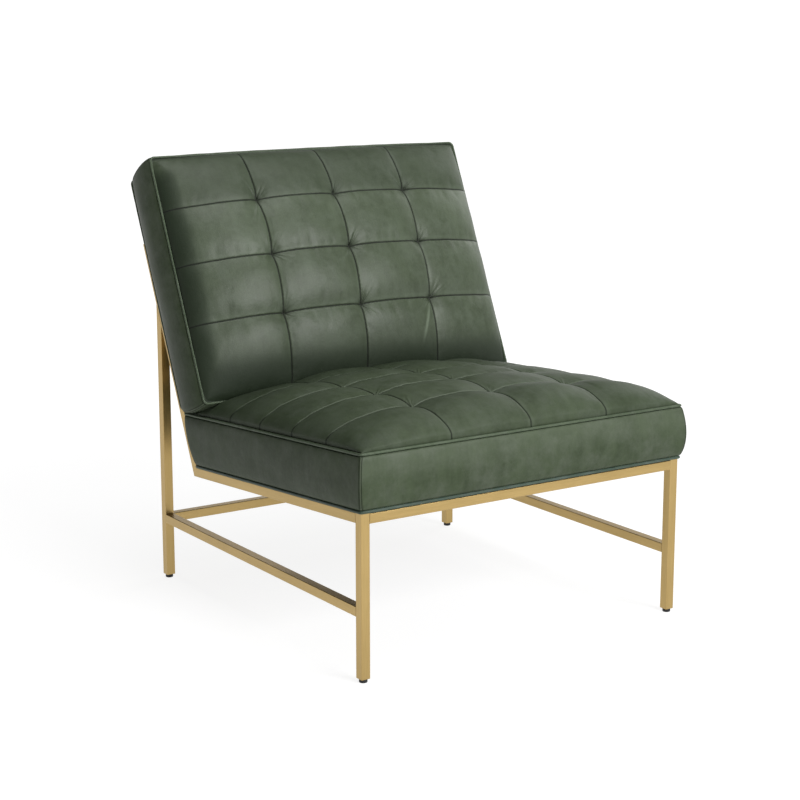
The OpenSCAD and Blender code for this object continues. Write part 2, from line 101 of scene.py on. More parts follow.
class Wire:
    """A socket of a material's nodes; arithmetic on wires adds the nodes that work it out."""

    def __init__(self, tree, socket=None):
        self.tree, self.socket = tree, socket

    def node(self, kind, settings=None, inputs=None, out=0):
        """A node of one kind: its settings, then the value or the wire of each input."""
        made = self.tree.nodes.new(kind)
        for name, value in (settings or {}).items():
            setattr(made, name, value)
        for name, value in (inputs or {}).items():
            if isinstance(value, Wire):
                self.tree.links.new(value.socket, made.inputs[name])
            else:
                made.inputs[name].default_value = value
        return Wire(self.tree, made.outputs[out])

    def maths(self, operation, *values, clamp=False):
        return self.node("ShaderNodeMath", {"operation": operation, "use_clamp": clamp},
                         dict(enumerate(values)))

    def __add__(self, other):
        return self.maths("ADD", self, other)

    def __sub__(self, other):
        return self.maths("SUBTRACT", self, other)

    def __rsub__(self, other):
        return self.maths("SUBTRACT", other, self)

    def __mul__(self, other):
        return self.maths("MULTIPLY", self, other)

    __radd__ = __add__
    __rmul__ = __mul__

    def between(self, low, high):
        """0 up to low, 1 from high, smooth in the middle."""
        return self.node("ShaderNodeMapRange", {"interpolation_type": "SMOOTHSTEP"},
                         {0: self, 1: low, 2: high})

    def tint(self, first, second):
        """The mix of two colours, second where this wire is 1."""
        return self.node("ShaderNodeMix", {"data_type": "RGBA"},
                         {0: self, 6: first, 7: second}, 2)

    def noise(self, at, scale, detail, rough):
        return self.node("ShaderNodeTexNoise", {}, {"Vector": at, "Scale": scale,
                                                    "Detail": detail, "Roughness": rough})

    def bands(self, at, direction, scale, distortion):
        return self.node("ShaderNodeTexWave", {"wave_type": "BANDS", "bands_direction": direction},
                         {"Vector": at, "Scale": scale, "Distortion": distortion})

    def mark(self, name):
        """A number stored on the piece's points."""
        return self.node("ShaderNodeAttribute", {"attribute_name": name}, out=2)

    def place(self, turn=(0, 0, 0), size=(1, 1, 1)):
        """The point on the piece, in metres, turned and stretched."""
        here = self.node("ShaderNodeTexCoord", out="Object")
        turned = self.node("ShaderNodeMapping", {}, {"Vector": here, "Rotation": turn})
        return self.node("ShaderNodeMapping", {}, {"Vector": turned, "Scale": size})

    def bump(self, height, depth, **normal):
        return self.node("ShaderNodeBump", {}, {"Height": height, "Distance": depth, **normal})


scene.world = bpy.data.worlds.new("studio")
scene.world.use_nodes = True
room = Wire(scene.world.node_tree)
outward = room.node("ShaderNodeTexCoord", out="Generated")
upward = room.node("ShaderNodeSeparateXYZ", {}, {0: outward}, 2)
side, ahead = (Wire(room.tree, upward.socket.node.outputs[k]) for k in (0, 1))
beyond = side * 0.556 + ahead * 0.831
behind = beyond.between(0.55, 0.90) * (1 - upward.between(0.28, 0.40)) * 0.95
shade = 1 - (side * -1.0).between(0.15, 0.80) * 0.30
horizon = (1 - upward.between(0.02, 0.12)) * 0.95 * shade * (1 - behind)
glow = horizon + behind + side.between(-0.3, 0.9) * 0.18 + 0.05
room.tree.links.new(glow.socket, room.tree.nodes["Background"].inputs["Strength"])
room.tree.nodes["Background"].inputs["Color"].default_value = (1, 1, 1, 1)
ground = Wire(white.node_tree)
far_out = ground.node("ShaderNodeVectorMath", {"operation": "LENGTH"}, {0: ground.place()}, 1)
lit = far_out.between(0.8, 3.2).tint((0.86, 0.86, 0.86, 1), (1.05, 1.05, 1.05, 1))
ground.tree.links.new(lit.socket, sweep["Emission Color"])

# Brass tube frame
# Square steel tube, mitred and welded, the welds ground flush, then brushed along each tube
# and brass plated. The CAD's tubes stay; each gets the brushing in its own direction.


def toned(colour, *shares):
    """A colour times one share, or one share for each channel."""
    return (*(c * k for c, k in zip(colour[:3], shares * 3)), 1)


def finish_material(name, build, **fixed):
    """A new material: build(wire) gives the varying sockets, fixed holds the constant ones."""
    made = bpy.data.materials.new(name)
    made.use_nodes = True
    tree = made.node_tree
    skin = tree.nodes["Principled BSDF"]
    for socket, value in fixed.items():
        skin.inputs[socket.replace("_", " ")].default_value = value
    for socket, wire in build(Wire(tree)).items():
        tree.links.new(wire.socket, skin.inputs[socket])
    return made


def dress(nodes, material):
    """Gives CAD nodes a material."""
    for name in nodes:
        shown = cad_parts[name]
        shown.data.materials.clear()
        shown.data.materials.append(material)


def brushed_brass(name, turn):
    """Brass plate brushed along one direction, which turn brings onto Z."""
    def build(w):
        along = w.place(turn, (1, 1, 0.012))
        fine = w.noise(along, 1900.0, 4.0, 0.65)
        broad = w.noise(w.place(turn, (1, 1, 0.08)), 60.0, 3.0, 0.5)
        cloud = w.noise(w.place(), 9.0, 3.0, 0.55)
        shade = (fine * 0.5 + broad * 0.25 + cloud * 0.25).between(0.36, 0.64)
        return {
            "Base Color": shade.tint((0.40, 0.281, 0.111, 1), (0.488, 0.347, 0.145, 1)),
            "Roughness": fine * 0.16 + cloud * 0.08 + 0.24,
            "Normal": w.bump(fine, 0.00004),
        }
    return finish_material(name, build, Metallic=1.0)


rake, seat_slope = radians(24.4), radians(4.1)
seat_turn, back_turn = (seat_slope, 0, 0), (rake - pi / 2, 0, 0)
for run, turn, tubes in (
        ("upright", (0, 0, 0), "front_leg_left front_leg_right rear_leg_left rear_leg_right"),
        ("across", (0, pi / 2, 0),
         "seat_rail_front seat_rail_rear back_rail_top stretcher_rear"),
        ("fore_aft", (pi / 2, 0, 0), "stretcher_left stretcher_right"),
        ("seat_run", (pi / 2 + seat_slope, 0, 0), "seat_rail_left seat_rail_right seat_tabs"),
        ("raked", (rake, 0, 0), "back_post_left back_post_right back_tabs")):
    dress(tubes.split(), brushed_brass("brass_" + run, turn))

# Levelling feet
# A zinc-plated threaded stem screws into a black plug pressed into each leg, and turns in the
# collar of a moulded black pad. The threads, plain in the CAD, are cut here.


def moulded(w):
    """Matte black plastic with the fine spark texture of its mould."""
    black = (0.004, 0.004, 0.004, 1)
    spark = w.noise(w.place(), 2600.0, 2.0, 0.6)
    cloud = w.noise(w.place(), 70.0, 3.0, 0.5)
    return {
        "Base Color": cloud.between(0.3, 0.7).tint(toned(black, 0.7), black),
        "Roughness": spark * 0.14 + 0.50,
        "Normal": w.bump(spark, 0.00003),
    }


def plated(w):
    """Bright zinc plate, slightly cloudy."""
    silver = (0.55, 0.56, 0.58, 1)
    crystals = w.node("ShaderNodeTexVoronoi", {}, {"Vector": w.place(), "Scale": 700.0})
    cloud = w.noise(w.place(), 180.0, 4.0, 0.6)
    return {
        "Base Color": cloud.between(0.3, 0.7).tint(silver, toned(silver, 1.15)),
        "Roughness": crystals * 0.12 + 0.24,
        "Normal": w.bump(cloud, 0.00002),
    }


black_plastic = finish_material("black_plastic", moulded)
zinc = finish_material("zinc_plate", plated, Metallic=1.0)
corners_of_chair = ["front_left", "front_right", "rear_left", "rear_right"]
dress(["leg_plugs", *["pad_" + place for place in corners_of_chair]], black_plastic)


def grid_faces(rows, columns, closed=False):
    """Quads of a grid whose points run along a row first; closed joins a row's ends."""
    across_row = np.arange(columns if closed else columns - 1)
    i, j = np.meshgrid(across_row, np.arange(rows - 1))
    a, b = j * columns + i, j * columns + (i + 1) % columns
    return np.stack([a, b, b + columns, a + columns], axis=-1).reshape(-1, 4)


def solid_piece(name, points, faces, material):
    """A mesh object at the origin from points and faces in the chair's own place."""
    mesh = bpy.data.meshes.new(name)
    faces = [tuple(map(int, face)) for face in faces]
    mesh.from_pydata([tuple(map(float, p)) for p in points], [], faces)
    mesh.materials.append(material)
    mesh.polygons.foreach_set("use_smooth", [True] * len(mesh.polygons))
    mesh.update()
    return placed(name, mesh)


stem_bottom, stem_top, stem_radius = 0.0041, 0.0250, 0.0040
thread_pitch, thread_depth, point_depth = 0.00125, 0.00072, 0.0009
collar_rings = (0.0052, 0.0022), (0.0056, 0.0025), (0.0056, 0.0037), (0.0052, 0.0040)
around, levels = 40, 190
for place in corners_of_chair:
    low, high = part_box("stem_" + place)
    middle_x, middle_y = (low.x + high.x) / 2, (low.y + high.y) / 2
    height = np.linspace(stem_bottom, stem_top, levels)[:, None]
    angle = np.linspace(0, 2 * pi, around, endpoint=False)[None, :]
    phase = (height / thread_pitch - angle / (2 * pi)) % 1.0
    cut = np.abs(phase - 0.5) * 2 * np.clip((height - stem_bottom) / 0.002, 0, 1)
    point = np.clip((height - stem_top + 0.001) / 0.001, 0, 1)
    radius = stem_radius - thread_depth * cut - point_depth * point
    shank = np.stack([middle_x + radius * np.cos(angle), middle_y + radius * np.sin(angle),
                      height + 0 * angle], axis=-1).reshape(-1, 3)
    collar = [(middle_x + r * cos(a), middle_y + r * sin(a), z)
              for r, z in collar_rings for a in angle[0]]
    rings = np.concatenate([collar, shank])
    count = len(rings) // around
    ends = [tuple(range(around))[::-1], tuple(range((count - 1) * around, count * around))]
    faces = [*grid_faces(count, around, True), *ends]
    stem = solid_piece("thread_" + place, rings, faces, zinc)
    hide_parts("stem_" + place)
    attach(stem, "screw_" + place)

# Leather
# Semi-aniline hide, spray dyed dark green and waxed: the dye is cloudy, and the wax greys it in
# patches. Marks on its points paint light: painted highlight on crests and folds, painted shade
# in the seams, the tufts and on the shaded parts. Grain, pores and fine creases are its bump.


def leather(name, turn, greens, rough=0.45, crease=1.0, shine=0.22):
    """Waxed hide from its greens: the deep dye, the light dye and the haze of the wax."""
    deep, light, haze = greens

    def build(w):
        here = w.place(turn)
        cloud = w.noise(here, 8.0, 5.0, 0.62)
        mottle = w.noise(here, 60.0, 6.0, 0.72)
        streak = w.noise(w.place(turn, (1, 0.10, 0.10)), 75.0, 4.0, 0.6)
        wax_and_sheen = w.noise(here, 24.0, 5.0, 0.72)
        groove, painted_highlight, edge = w.mark("groove"), w.mark("painted_highlight"), w.mark("painted_shade")
        dye = (cloud * 0.42 + mottle * 0.40 + streak * 0.26).between(0.36, 0.74)
        tone = (wax_and_sheen.between(0.34, 0.82) * 0.72).tint(dye.tint(deep, light), haze)
        # painted highlight: lighter and greyer than the wax haze
        tone = painted_highlight.tint(tone, toned(haze, 1.7))
        # painted shade: edge darkens the hide to a near-black green
        tone = (edge * 0.90).tint(tone, toned(deep, 0.17, 0.28, 0.15))
        # painted shade, nearly black: in the seams, the tufts' dimples and the other hollows
        tone = groove.tint(tone, toned(deep, 0.08))
        pebble = w.node("ShaderNodeTexVoronoi", {"feature": "SMOOTH_F1"},
                        {"Vector": here, "Scale": 620.0, "Smoothness": 0.6})
        pores = w.noise(here, 2300.0, 2.0, 0.5)
        crumple = w.noise(here, 95.0, 5.0, 0.6)
        wrinkle = w.noise(w.place(turn, (1, 0.35, 0.35)), 34.0, 3.0, 0.55)
        relief = w.bump(crumple, 0.0004 * crease, Normal=w.bump(wrinkle, 0.0006 * crease))
        matte = mottle * 0.12 + wax_and_sheen * 0.10 + groove * 0.2 + edge * 0.22
        return {
            "Base Color": tone,
            "Roughness": w.maths("ADD", matte, rough - 0.10, clamp=True),
            "Normal": w.bump(pores, 0.00003, Normal=w.bump(pebble, 0.00010, Normal=relief)),
        }
    return finish_material(name, build, Specular_IOR_Level=shine)


seat_greens = (0.031, 0.043, 0.022, 1), (0.054, 0.072, 0.041, 1), (0.074, 0.090, 0.066, 1)
back_greens = *seat_greens[:2], (0.072, 0.091, 0.062, 1)
seat_hide = leather("seat_leather", seat_turn, seat_greens, 0.5, shine=0.16)
back_hide = leather("back_leather", back_turn, back_greens, shine=0.32)


def lattice(x, y, step_x, step_y, seed):
    """Smooth random waves between -1 and 1, about one step long."""
    u, v = np.asarray(x) / step_x + 500.0, np.asarray(y) / step_y + 500.0
    i, j = np.floor(u).astype(int), np.floor(v).astype(int)
    table = np.random.default_rng(seed).uniform(-1, 1, (257, 257))
    fx, fy = u - i, v - j
    fx, fy = fx * fx * (3 - 2 * fx), fy * fy * (3 - 2 * fy)

    def row(b):
        here, next_one = table[i % 257, (j + b) % 257], table[(i + 1) % 257, (j + b) % 257]
        return here * (1 - fx) + next_one * fx
    return row(0) * (1 - fy) + row(1) * fy


def spread(lines, counts):
    """Places from line to line, crowded beside every line."""
    places, crowd = [], 0.70
    for start, end, count in zip(lines, lines[1:], counts):
        t = np.arange(count) / count
        places.append(start + (end - start) * (t - crowd * np.sin(2 * pi * t) / (2 * pi)))
    return np.concatenate([*places, lines[-1:]])


def bell(d, width):
    """1 where d is 0, and falling off over a width."""
    return np.exp(-(d / width) ** 2)


def below(value, limit, soft):
    """1 below a limit and 0 above it, over a soft step."""
    return 1 / (1 + np.exp((value - limit) / soft))


def mark(piece, **marks):
    """Stores numbers on a piece's points, for its material to read."""
    for label, values in marks.items():
        attribute = piece.data.attributes.new(label, "FLOAT", "POINT")
        attribute.data.foreach_set("value", np.asarray(values, np.float32))


def bow(t, power):
    """The bow of a stuffed panel: 1 in the middle, 0 at the welts, where t is 1 or -1."""
    return np.maximum(0.0, 1.0 - np.abs(np.clip(t, -1, 1)) ** power) ** (1.0 / power)


# Tufted leather of the back's front
# Sixteen hide panels sewn in a grid over wadding, drawn down to the plywood by a cord at each
# crossing, so the panels swell between the seams and the hide folds towards the cords.
half_width = 0.360
columns = np.array([-half_width, -0.1727, 0.0, 0.1727, half_width])
back_thick = 0.100
back_low_v, back_high_v = 0.1162, 0.6142
back_rows = np.array([back_low_v, 0.266, 0.385, 0.500, back_high_v])
corner_y, corner_z, tube = front_face + 0.603, 0.24073, 0.018
rng = np.random.default_rng(11)
fold_headings = [25, 50, 70, 35, 60, 125, 150, -35, -130]


def seam_form(distance, half_pitch, foot, roll):
    """Drop of the hide near a seam: the pillow's foot and the roll beside the thread."""
    bowl = (1 - np.minimum(1.0, distance / half_pitch)) ** 2
    return foot * bowl + roll * np.exp(-distance / 0.0045)


def tufted(x, v, columns, rows, crown, powers, foot, pinch, soft, seed, folds, lean=0.0):
    """Height of a tufted cover over its welt, marks of its seams and tufts, and how far each
    point lies from the nearest seams: folds at each tuft, pinch its depths, reach and darkness."""
    half_column, half_row, stitch, waver = 0.0863, 0.058, 0.0013, 0.0007
    half, depths, pinch_reach, darkness = columns[-1], *pinch
    middle, span = (rows[0] + rows[-1]) / 2, (rows[-1] - rows[0]) / 2
    t = (v - middle) / span
    lift = bow(x / half, powers[0]) * np.where(t < 0, bow(t, powers[1]), bow(t, powers[2]))
    edge_gap = np.minimum(half - np.abs(x), span - np.abs(v - middle))
    rounding = soft * np.exp(-edge_gap / 0.007) * np.minimum(1, edge_gap / 0.002)
    height = np.maximum(lift * crown - rounding, 0.0)
    fade = np.minimum(1.0, 2.2 * lift)
    drawn = waver * lattice(v, v * 0, 0.05, 1, seed + 5) - lean * np.exp(-(v - rows[0]) / 0.025)
    to_column = np.min([np.abs(x - line + drawn) for line in columns[1:-1]], axis=0)
    drift = waver * lattice(x, x * 0, 0.06, 1, seed + 6)
    row_gaps = np.array([v - line + drift for line in rows[1:-1]])
    nearest = np.argmin(np.abs(row_gaps), axis=0)
    row_gap = np.take_along_axis(row_gaps, nearest[None], axis=0)[0]
    to_row = np.abs(row_gap)
    groove = np.maximum(bell(to_column, stitch), bell(to_row, stitch))
    dips = seam_form(to_column, half_column, *foot), seam_form(to_row, half_row, *foot)
    height -= ((dips[0] ** 4 + dips[1] ** 4) ** 0.25 + 0.0013 * groove) * fade
    waves = 0.0009 * lattice(x, v, 0.050, 0.085, seed)
    height += (waves + 0.0004 * lattice(x, v, 0.018, 0.050, seed + 1)) * fade
    tuft_shade, sheen = 0.0 * x, 0.0 * x
    for line, depth in zip(rows[1:-1], depths):
        for column in columns[1:-1]:
            dx, dv = x - column, v - line
            r, angle = np.hypot(dx, dv), np.arctan2(dv, dx)
            height -= depth * np.exp(-np.sqrt(r * r + 0.0025 ** 2) / pinch_reach)
            fan = 0.0 * x
            for _ in range(folds):
                heading = radians(rng.choice(fold_headings)) + rng.uniform(-0.25, 0.25)
                length, size = rng.uniform(0.016, 0.036), rng.uniform(0.0010, 0.0024)
                ahead, beside = r * np.cos(angle - heading), r * np.sin(angle - heading)
                q = beside / (0.0011 + 0.075 * r)
                grow = bell(r, length) * np.clip(r / 0.005, 0, 1) * (ahead > 0)
                height += size * (0.35 - q * q) * np.exp(-q * q) * 1.6 * grow
                fan = np.maximum(fan, np.exp(-(q - 0.4) ** 2 * 3) * grow)
            # painted shade in the dimple round each tuft, and painted highlight on its folds,
            # stronger on the middle and right columns
            dark = 0.62 * bell(r, 0.0085) + 0.30 * bell(r, 0.020) * (0.4 + fan)
            tuft_shade = np.maximum(tuft_shade, darkness * dark)
            sheen = np.maximum(sheen, darkness * fan * (0.36 if column >= 0 else 0.16))
    for line in rows[1:-1]:
        gathers = 0.0004 * lattice(x, v * 0 + line, 0.011, 1, seed + 9)
        height += gathers * np.exp(-np.abs(v - line) / 0.010) * fade
    # both marks paint light: groove is shade in the seams and tufts, the second mark is the folds'
    # highlight
    return height, {"groove": np.maximum(groove, tuft_shade), "painted_highlight": sheen}, to_column, row_gap


def resampled(values, from_x, from_v, to_x, to_v):
    """A grid of values brought onto another grid's lines."""
    lines = np.array([np.interp(to_x, from_x, line) for line in values])
    return np.array([np.interp(to_v, from_v, lines[:, k]) for k in range(len(to_x))]).T


def stuffed(xs, vs, columns, rows, height, material, cap):
    """How far wadding pushes the hide out between its seams: a cloth simulation on a coarse
    copy, held at the seams and the welts, in hide cut a little too large for its frame."""
    cloth_step, seam_width, too_large = 0.006, 0.0045, 0.009
    coarse_x, coarse_v = (np.linspace(k[0], k[-1], round((k[-1] - k[0]) / cloth_step) + 1)
                          for k in (xs, vs))
    x, v = np.meshgrid(coarse_x, coarse_v)
    gaps = [np.abs(x - line) for line in columns] + [np.abs(v - line) for line in rows]
    sewn = bell(np.min(gaps, axis=0), seam_width)
    start = np.stack([x, v, resampled(height, xs, vs, coarse_x, coarse_v)], -1).reshape(-1, 3)
    cover = solid_piece("loose_cover", start, grid_faces(*x.shape), material)
    held = cover.vertex_groups.new(name="sewn")
    for k, weight in enumerate(sewn.ravel()):
        held.add([k], float(weight), "REPLACE")
    cloth = cover.modifiers.new("hide", "CLOTH")
    hide = cloth.settings
    hide.quality, hide.mass, hide.air_damping = 6, 0.3, 2.0
    hide.tension_stiffness = hide.compression_stiffness = 18.0
    hide.shear_stiffness, hide.bending_stiffness = 9.0, 1.6
    hide.vertex_group_mass = "sewn"
    hide.shrink_min = -too_large
    hide.use_pressure, hide.uniform_pressure_force = True, 12.0
    hide.effector_weights.gravity = 0.0
    cloth.collision_settings.use_collision = False
    for moment in range(1, 21):
        scene.frame_set(moment)
    ready = cover.evaluated_get(bpy.context.evaluated_depsgraph_get())
    settled = np.empty(len(start) * 3)
    ready.data.vertices.foreach_get("co", settled)
    rise = (settled.reshape(-1, 3) - start)[:, 2].reshape(x.shape)
    scene.frame_set(1)
    bpy.data.objects.remove(cover)
    return resampled(np.clip(rise, -cap, cap), coarse_x, coarse_v, xs, vs)


def round_corners(x, v, half, low, high, radius):
    """Draws the corners of a rectangular grid into quarter circles."""
    u = np.clip((np.abs(x) - (half - radius)) / radius, 0, 1)
    w = np.clip(np.maximum(low + radius - v, v - (high - radius)) / radius, 0, 1)
    both = (u > 0) & (w > 0)
    new_u, new_w = u * np.sqrt(1 - w * w / 2), w * np.sqrt(1 - u * u / 2)
    x = np.where(both, np.sign(x) * (half - radius + radius * new_u), x)
    far = v > (low + high) / 2
    drawn = np.where(far, high - radius + radius * new_w, low + radius - radius * new_w)
    return x, np.where(both, drawn, v)


def back_place(points):
    """From the back's own frame (across, up the posts, forward of them) to the chair's place."""
    x, s, w = points[..., 0], points[..., 1], points[..., 2] + tube
    return np.stack([x, corner_y + s * sin(rake) - w * cos(rake),
                     corner_z + s * cos(rake) + w * sin(rake)], axis=-1)


def quilted(name, xs, vs, height, marks, thick, drafts, corner, place, material):
    """Closes a tufted surface with a tucked edge and a flat underside, and marks its seams."""
    tuck, dip, layer, inset = 0.0020, 0.0012, 0.007, 0.0055
    x, v = np.meshgrid(xs, vs)
    low, high, half = vs[0], vs[-1], xs[-1]
    rows, count = x.shape
    rim = np.zeros(x.shape)
    rim[0, :] = rim[-1, :] = rim[:, 0] = rim[:, -1] = 1.0
    sx, sv = round_corners(x, v, half, low, high, corner)
    sx = np.clip(sx, -half + tuck, half - tuck)
    sv = np.clip(sv, low + tuck, high - tuck)
    top = np.stack([sx, sv, thick + height - dip * rim], axis=-1)
    ring = [(0, i) for i in range(count - 1)] + [(j, count - 1) for j in range(rows - 1)]
    ring += [(rows - 1, i) for i in range(count - 1, 0, -1)]
    ring += [(j, 0) for j in range(rows - 1, 0, -1)]
    under = []
    for j, i in ring:
        px, pv, _ = top[j, i]
        px -= inset * np.sign(px) * (i in (0, count - 1))
        pv += (inset - layer * drafts[0]) * (j == 0) - (inset + layer * drafts[1]) * (j == rows - 1)
        under.append((px, pv, thick - layer))
    points = np.concatenate([top.reshape(-1, 3), np.array(under)])
    faces = [tuple(f) for f in grid_faces(rows, count)]
    first = rows * count
    edge = [j * count + i for j, i in ring]
    for k, (a, b) in enumerate(zip(edge, edge[1:] + edge[:1])):
        faces.append((b, a, first + k, first + (k + 1) % len(ring)))
    faces.append(tuple(range(first + len(ring) - 1, first - 1, -1)))
    made = solid_piece(name, place(points), faces, material)
    # the points under the rim take each mark at one half: half painted shade and half painted
    # highlight
    below_rim = np.full(len(under), 0.5)
    mark(made, **{label: np.concatenate([marks[label].ravel(), below_rim]) for label in marks})
    return made


back_xs = spread(columns, [72] * 4)
back_vs = spread(back_rows, [62, 48, 48, 52])
grid_x, grid_v = np.meshgrid(back_xs, back_vs)
back_height, back_marks, to_column, row_gap = tufted(
    grid_x, grid_v, columns, back_rows, crown=0.082, powers=(2.03, 1.88, 2.1),
    foot=(0.0052, 0.0010), pinch=((0.0118,) * 3, 0.021, 0.8), soft=0.0065, seed=21, folds=6)
most_rise = 0.005
back_height += 0.65 * stuffed(back_xs, back_vs, columns, back_rows, back_height, back_hide,
                              most_rise)
# painted highlight: on the roll just above each row seam and beside each column seam
roll = 0.14 * bell(row_gap - 0.0055, 0.0045) + 0.12 * bell(to_column - 0.004, 0.003)
# one long crease runs from a tuft towards the foot of the panel below it
start, run = (0.1697, 0.262), (-0.0400, -0.0980)
off_x, off_v = grid_x - start[0], grid_v - start[1]
along = (off_x * run[0] + off_v * run[1]) / (run[0] ** 2 + run[1] ** 2)
beside = (off_x * run[1] - off_v * run[0]) / hypot(*run)
pull = np.clip(4 * along * (1 - along), 0, 1) ** 1.5
back_height += 0.0014 * pull * (bell(beside, 0.0030) - 0.5 * bell(beside + 0.0065, 0.0040))
# painted highlight along the crease
roll = np.maximum(roll, 0.8 * pull * bell(beside - 0.0008, 0.0030))
back_marks["painted_highlight"] = np.maximum(roll, back_marks["painted_highlight"]) * (1 - back_marks["groove"])
under_top = back_high_v - grid_v
# painted shade: a dark line just under the top welt
back_marks["groove"] = np.maximum(back_marks["groove"], 0.9 * below(under_top, 0.0046, 0.0008))
# painted shade: darker down the left side, at the nip over the seat, just under the top welt and
# over the top row
strip = below(half_width + grid_x, 0.034, 0.0055) * below(-under_top, -0.030, 0.007)
nip = below(grid_v - back_low_v + 0.026 * grid_x, 0.066, 0.010)
rim = 0.7 * below(under_top, 0.010, 0.003)
upper = 0.34 * below(back_rows[3] - grid_v, -0.002, 0.002)
back_marks["painted_shade"] = np.max([strip, rim, nip, upper], axis=0)
# painted highlight: the second row from the top a little lighter, away from the left side and the
# seams
second = (grid_v < back_rows[3]) & (grid_v > back_rows[2])
wax_and_sheen = 0.05 * second * (1 - strip) * (1 - back_marks["groove"])
back_marks["painted_highlight"] = np.maximum(back_marks["painted_highlight"], wax_and_sheen)
back_front = quilted("back_tufted_front", back_xs, back_vs, back_height, back_marks,
                     back_thick, (-0.13, 0.13), 0.011, back_place, back_hide)
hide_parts("back_front_cover")
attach(back_front, "chair")

# Tufted leather of the seat's top
# Twenty panels, four across and five deep, made as the back's; the last row runs under the
# back, which presses the crown down where it leans on it.
seat_thick = 0.103
seat_half = 0.355
seat_low_v, seat_high_v = -0.0099, 0.6276
seat_columns = np.array([-seat_half, -0.1727, 0.0, 0.1727, seat_half])
seat_rows = np.array([seat_low_v, 0.1060, 0.2225, 0.3370, 0.4490, seat_high_v])
rail_z = 0.302


def seat_place(points):
    """From the seat's own frame (across, back, up from the rails) to the chair's place."""
    x, v, n = points[..., 0], points[..., 1], points[..., 2]
    return np.stack([x, front_face + v * cos(seat_slope) + n * sin(seat_slope),
                     rail_z - v * sin(seat_slope) + n * cos(seat_slope)], axis=-1)


def to_seat(s, w):
    """A point of the back's own frame in the seat's: how far back, and how high."""
    y = 0.603 + s * sin(rake) - (w + tube) * cos(rake)
    z = corner_z + s * cos(rake) + (w + tube) * sin(rake) - rail_z
    return (y * cos(seat_slope) - z * sin(seat_slope),
            y * sin(seat_slope) + z * cos(seat_slope))


seat_xs = spread(seat_columns, [66] * 4)
seat_vs = spread(seat_rows, [52, 46, 46, 46, 46])
grid_x, grid_v = np.meshgrid(seat_xs, seat_vs)
near_seam = np.min([np.abs(grid_x - line) for line in seat_columns[1:-1]], axis=0)
front_swell = 0.0100 * bell(grid_v - 0.045, 0.045) * (1 - 0.8 * bell(near_seam, 0.035))
seat_crown = 0.0774 + front_swell * np.where(grid_x > 0.2, 1.25, 1.0)
seat_height, seat_marks, to_column, row_gap = tufted(
    grid_x, grid_v, seat_columns, seat_rows, seat_crown, powers=(2.25, 2.6, 2.6),
    foot=(0.0034, 0.0005), pinch=((0.0115, 0.0090, 0.0080, 0.0080), 0.030, 0.15), soft=0.0,
    seed=33, folds=2, lean=0.0045)
seat_height += 0.50 * stuffed(seat_xs, seat_vs, seat_columns, seat_rows, seat_height, seat_hide,
                              most_rise)
# sat flatter at the rear left and along the right, fuller at the rear right
press = 0.0075 * bell(grid_x + 0.235, 0.080) - 0.0040 * bell(grid_x - 0.25, 0.070)
seat_height -= press * np.clip((grid_v - 0.452) / 0.045, 0, 1)
seat_height -= 0.0024 * bell(grid_x - 0.28, 0.06) * np.clip((grid_v - 0.125) / 0.06, 0, 1)
# painted highlight: a thin light line just behind each row seam, fading out near the sides, and a
# faint one beside each column seam
thread = bell(row_gap - 0.0016, 0.0008) * np.clip((0.350 - np.abs(grid_x)) / 0.014, 0, 1)
seat_marks["painted_highlight"] = np.maximum(0.72 * thread, 0.1 * bell(to_column - 0.004, 0.003))
from_left = seat_half + grid_x
# painted shade: the row seams dark for their last 16 mm at the left welt, and less dark where the
# painted highlight runs
end = 0.8 * bell(row_gap, 0.0022) * below(from_left, 0.016, 0.003)
seat_marks["groove"] = np.maximum(seat_marks["groove"] * (1 - 0.7 * thread), end)
# painted shade: darker along the left side, over the rear rows under the back, and on the front row
strip = 0.30 * below(from_left, 0.085, 0.025)
nip = 0.55 * below(-grid_v, -0.40, 0.045)
seat_marks["painted_shade"] = np.max([strip, nip, 0.15 * below(grid_v, 0.105, 0.003)], axis=0)
# the back's lower end is the ceiling of the seat's top where it leans on it
clearance, blend, rows_near = 0.0030, 0.004, back_vs < 0.40
for k, x in enumerate(seat_xs):
    belly = np.array([np.interp(x, back_xs, back_height[j]) for j in np.nonzero(rows_near)[0]])
    front = to_seat(back_vs[rows_near], back_thick + belly)
    under = to_seat(back_low_v + np.array([0.013, -0.002, -0.004]),
                    np.array([0.0, 0.055, back_thick]))
    line_v, line_n = np.concatenate([under, front], axis=1)
    keep = np.argsort(line_v)
    ceiling = np.interp(seat_vs, line_v[keep], np.minimum.accumulate(line_n[keep])) - clearance
    ceiling = np.where(seat_vs < line_v.min(), 1.0, ceiling) - seat_thick
    own = seat_height[:, k]
    gap = np.clip((ceiling - own) / blend, -30, 30)
    soft = own - blend * np.log1p(np.exp(-gap))
    seat_height[:, k] = np.maximum(np.where(gap > 12, own, soft), 0.0)
seat_top = quilted("seat_tufted_top", seat_xs, seat_vs, seat_height, seat_marks,
                   seat_thick, (-0.0717, 0.370), 0.006, seat_place, seat_hide)
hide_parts("seat_top_cover")
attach(seat_top, "chair")

# Boxing of the seat
# A band of hide, one length for each side, sewn to the top piece with the welt between and
# joined at the corners; the foam pushes it out, and the stitching of the welt puckers it.


